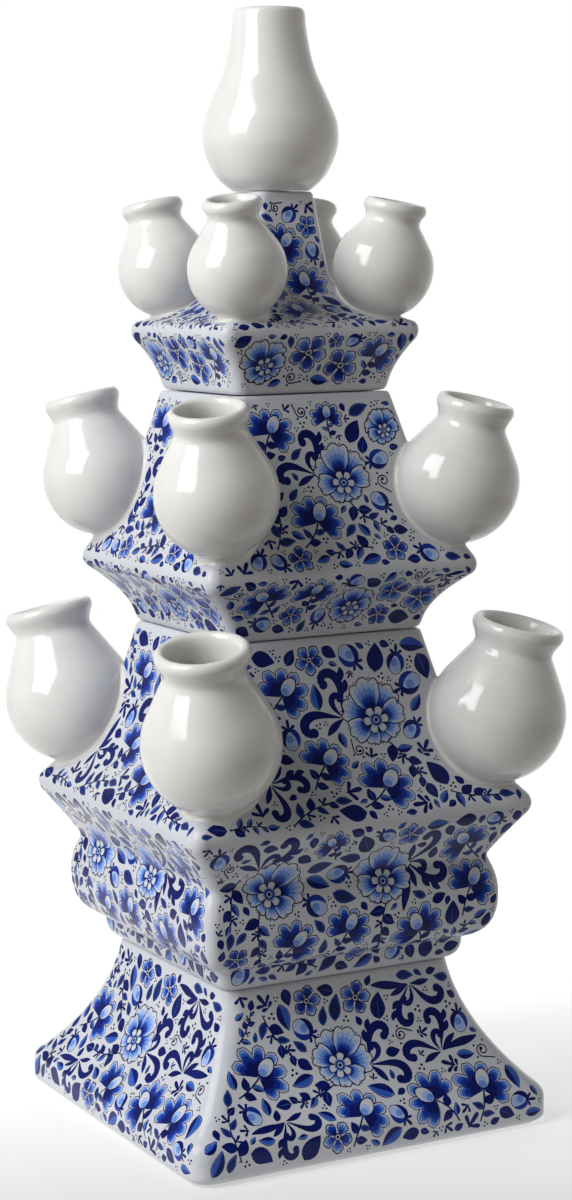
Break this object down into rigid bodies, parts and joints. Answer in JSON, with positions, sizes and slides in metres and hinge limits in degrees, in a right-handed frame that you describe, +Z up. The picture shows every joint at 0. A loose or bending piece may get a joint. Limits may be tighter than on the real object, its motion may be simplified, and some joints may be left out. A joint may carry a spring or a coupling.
{
  "type": "tulip vase",
  "caption": "Stacked square pyramid vase with concave roofs, bulbous stem spouts on its hips and a bottle on top; its sections lift apart.",
  "frame": {"origin": "centre of the square foot's underside, on the table", "axes": "+Z up along the vase's axis, +Y from the front face to the back face, +X to the right"},
  "size_m": [0.166, 0.166, 0.4],
  "materials": {
    "painted_glaze": "glossy",
    "white_glaze": "glossy"
  },
  "bodies": {
    "lower_section": {"foot": "painted_glaze", "lower_tier": "painted_glaze", "lower_spout_front_left": "white_glaze", "lower_spout_front_right": "white_glaze", "lower_spout_back_right": "white_glaze", "lower_spout_back_left": "white_glaze"},
    "middle_section": {"middle_tier": "painted_glaze", "middle_spout_front_left": "white_glaze", "middle_spout_front_right": "white_glaze", "middle_spout_back_right": "white_glaze", "middle_spout_back_left": "white_glaze"},
    "top_section": {"top_tier": "painted_glaze", "bottle": "white_glaze", "top_spout_front_left": "white_glaze", "top_spout_front_right": "white_glaze", "top_spout_back_right": "white_glaze", "top_spout_back_left": "white_glaze"}
  },
  "joints": [
    {"name": "middle_lift", "type": "slide", "parent": "lower_section", "child": "middle_section", "axis": [0, 0, 1], "range_m": [0, 0.06]},
    {"name": "top_lift", "type": "slide", "parent": "middle_section", "child": "top_section", "axis": [0, 0, 1], "range_m": [0, 0.06]}
  ]
}
